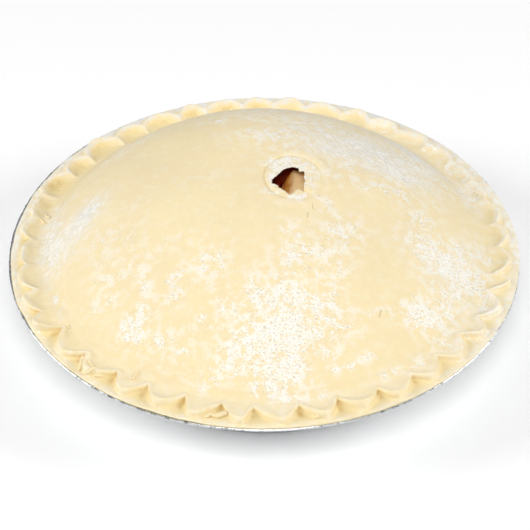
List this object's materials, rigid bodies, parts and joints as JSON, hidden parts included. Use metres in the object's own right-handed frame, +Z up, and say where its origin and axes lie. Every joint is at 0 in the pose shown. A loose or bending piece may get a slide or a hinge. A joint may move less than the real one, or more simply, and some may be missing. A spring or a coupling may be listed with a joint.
{
  "type": "apple pie in a foil tin",
  "caption": "Unbaked round double-crust apple pie with a domed lid, fluted edge and torn steam vent, in its own shallow foil tin.",
  "frame": {"origin": "on the table, under the middle of the foil tin", "axes": "+Z up, -Y towards the front of the pie, which the picture looks at; +X to the right"},
  "size_m": [0.25, 0.25, 0.0743],
  "materials": {
    "foil": "bright pressed foil, slightly crinkled",
    "raw_pastry": "matt raw shortcrust dough with patches of white flour",
    "apple_filling": "dark, wet cinnamon syrup",
    "apple_flesh": "moist cut apple, browned by spice"
  },
  "bodies": {
    "root": {"foil_tin": "foil", "pastry_crust": "raw_pastry", "apple_filling": "apple_filling", "apple_piece_1": "apple_flesh", "apple_piece_2": "apple_flesh"}
  },
  "joints": []
}
